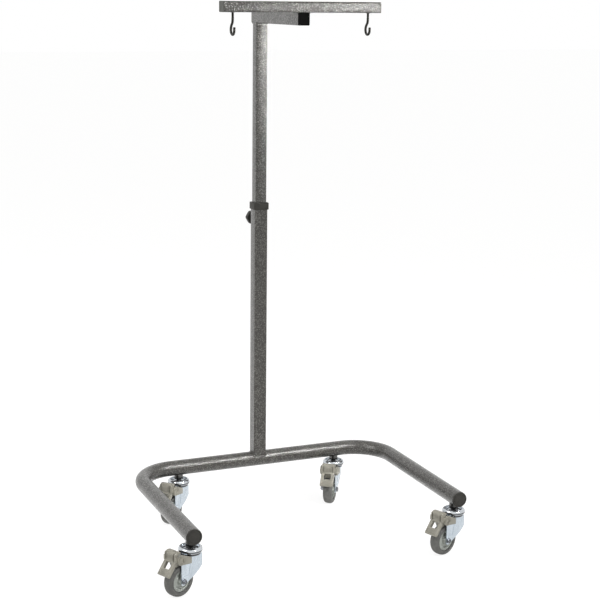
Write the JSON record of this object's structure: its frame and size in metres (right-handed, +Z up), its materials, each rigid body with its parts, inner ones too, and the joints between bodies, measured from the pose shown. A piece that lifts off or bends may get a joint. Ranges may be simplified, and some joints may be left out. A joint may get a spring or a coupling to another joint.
{
  "type": "gong stand",
  "caption": "Rolling gong stand: U base of round tube on braked swivel casters, a telescoping square upright and an arm with a crossbar and two hooks.",
  "frame": {"origin": "on the floor, under the middle of the box round the whole stand", "axes": "+Z up, +Y towards the rear bar and the upright, +X to the right along the crossbar"},
  "size_m": [0.8226, 0.5734, 1.3684],
  "materials": {
    "frame_paint": "grey hammertone enamel",
    "dark_plastic": "moulded, fine grain",
    "plug_plastic": "moulded, satin",
    "dark_steel": "blackened",
    "chrome": "polished",
    "zinc": "bright zinc plate with a blue cast",
    "bolt_zinc": "zinc plate",
    "pedal_plastic": "moulded nylon, satin",
    "tyre": "matte",
    "hub_plastic": "moulded, matte"
  },
  "bodies": {
    "frame": {"base_tube": "frame_paint", "upright_outer": "frame_paint", "end_cap_left": "dark_plastic", "end_cap_right": "dark_plastic", "upright_collar": "dark_plastic", "clamp_boss": "frame_paint", "front_left_stem_boss": "dark_steel", "front_left_swivel_race": "chrome", "front_left_king_bolt": "bolt_zinc", "front_right_stem_boss": "dark_steel", "front_right_swivel_race": "chrome", "front_right_king_bolt": "bolt_zinc", "rear_left_stem_boss": "dark_steel", "rear_left_swivel_race": "chrome", "rear_left_king_bolt": "bolt_zinc", "rear_right_stem_boss": "dark_steel", "rear_right_swivel_race": "chrome", "rear_right_king_bolt": "bolt_zinc"},
    "top_unit": {"upright_inner": "frame_paint", "arm": "frame_paint", "arm_plug_front": "dark_plastic", "arm_plug_rear": "dark_plastic", "crossbar": "frame_paint", "crossbar_plug_left": "plug_plastic", "crossbar_plug_right": "plug_plastic", "hook_left": "dark_steel", "hook_right": "dark_steel", "hook_insert_left": "dark_steel", "hook_insert_right": "dark_steel"},
    "clamp": {"clamp_knob": "dark_plastic", "clamp_screw": "bolt_zinc"},
    "front_left_swivel": {"front_left_fork": "zinc", "front_left_axle_bolt": "bolt_zinc", "front_left_axle_nut": "bolt_zinc", "front_left_brake_pin": "bolt_zinc"},
    "front_left_wheel": {"front_left_tyre": "tyre", "front_left_hub": "hub_plastic"},
    "front_left_brake": {"front_left_brake_pedal": "pedal_plastic"},
    "front_right_swivel": {"front_right_fork": "zinc", "front_right_axle_bolt": "bolt_zinc", "front_right_axle_nut": "bolt_zinc", "front_right_brake_pin": "bolt_zinc"},
    "front_right_wheel": {"front_right_tyre": "tyre", "front_right_hub": "hub_plastic"},
    "front_right_brake": {"front_right_brake_pedal": "pedal_plastic"},
    "rear_left_swivel": {"rear_left_fork": "zinc", "rear_left_axle_bolt": "bolt_zinc", "rear_left_axle_nut": "bolt_zinc", "rear_left_brake_pin": "bolt_zinc"},
    "rear_left_wheel": {"rear_left_tyre": "tyre", "rear_left_hub": "hub_plastic"},
    "rear_left_brake": {"rear_left_brake_pedal": "pedal_plastic"},
    "rear_right_swivel": {"rear_right_fork": "zinc", "rear_right_axle_bolt": "bolt_zinc", "rear_right_axle_nut": "bolt_zinc", "rear_right_brake_pin": "bolt_zinc"},
    "rear_right_wheel": {"rear_right_tyre": "tyre", "rear_right_hub": "hub_plastic"},
    "rear_right_brake": {"rear_right_brake_pedal": "pedal_plastic"}
  },
  "joints": [
    {"name": "mast_height", "type": "slide", "parent": "frame", "child": "top_unit", "axis": [0, 0, 1], "range_m": [-0.2, 0.25]},
    {"name": "clamp_turn", "type": "hinge", "parent": "frame", "child": "clamp", "pos_m": [0.03009, 0.26372, 0.80245], "axis": [0, 1, 0], "range_deg": [0, 360]},
    {"name": "front_left_swivel_turn", "type": "hinge", "parent": "frame", "child": "front_left_swivel", "pos_m": [-0.32211, -0.23237, 0.09545], "axis": [0, 0, 1], "continuous": true},
    {"name": "front_left_wheel_roll", "type": "hinge", "parent": "front_left_swivel", "child": "front_left_wheel", "pos_m": [-0.35655, -0.24843, 0.03975], "axis": [0.4226, -0.9063, 0], "continuous": true},
    {"name": "front_left_brake_tip", "type": "hinge", "parent": "front_left_swivel", "child": "front_left_brake", "pos_m": [-0.36652, -0.25308, 0.09695], "axis": [0.4226, -0.9063, 0], "range_deg": [-14, 0]},
    {"name": "front_right_swivel_turn", "type": "hinge", "parent": "frame", "child": "front_right_swivel", "pos_m": [0.38229, -0.23237, 0.09545], "axis": [0, 0, 1], "continuous": true},
    {"name": "front_right_wheel_roll", "type": "hinge", "parent": "front_right_swivel", "child": "front_right_wheel", "pos_m": [0.34681, -0.24599, 0.03975], "axis": [0.3584, -0.9336, 0], "continuous": true},
    {"name": "front_right_brake_tip", "type": "hinge", "parent": "front_right_swivel", "child": "front_right_brake", "pos_m": [0.33654, -0.24993, 0.09695], "axis": [0.3584, -0.9336, 0], "range_deg": [-14, 0]},
    {"name": "rear_left_swivel_turn", "type": "hinge", "parent": "frame", "child": "rear_left_swivel", "pos_m": [-0.19691, 0.23312, 0.09545], "axis": [0, 0, 1], "continuous": true},
    {"name": "rear_left_wheel_roll", "type": "hinge", "parent": "rear_left_swivel", "child": "rear_left_wheel", "pos_m": [-0.22602, 0.2087, 0.03975], "axis": [0.6428, -0.766, 0], "continuous": true},
    {"name": "rear_left_brake_tip", "type": "hinge", "parent": "rear_left_swivel", "child": "rear_left_brake", "pos_m": [-0.23445, 0.20163, 0.09695], "axis": [0.6428, -0.766, 0], "range_deg": [-14, 0]},
    {"name": "rear_right_swivel_turn", "type": "hinge", "parent": "frame", "child": "rear_right_swivel", "pos_m": [0.25709, 0.23312, 0.09545], "axis": [0, 0, 1], "continuous": true},
    {"name": "rear_right_wheel_roll", "type": "hinge", "parent": "rear_right_swivel", "child": "rear_right_wheel", "pos_m": [0.23422, 0.20278, 0.03975], "axis": [0.7986, -0.6018, 0], "continuous": true},
    {"name": "rear_right_brake_tip", "type": "hinge", "parent": "rear_right_swivel", "child": "rear_right_brake", "pos_m": [0.2276, 0.19399, 0.09695], "axis": [0.7986, -0.6018, 0], "range_deg": [-14, 0]}
  ]
}
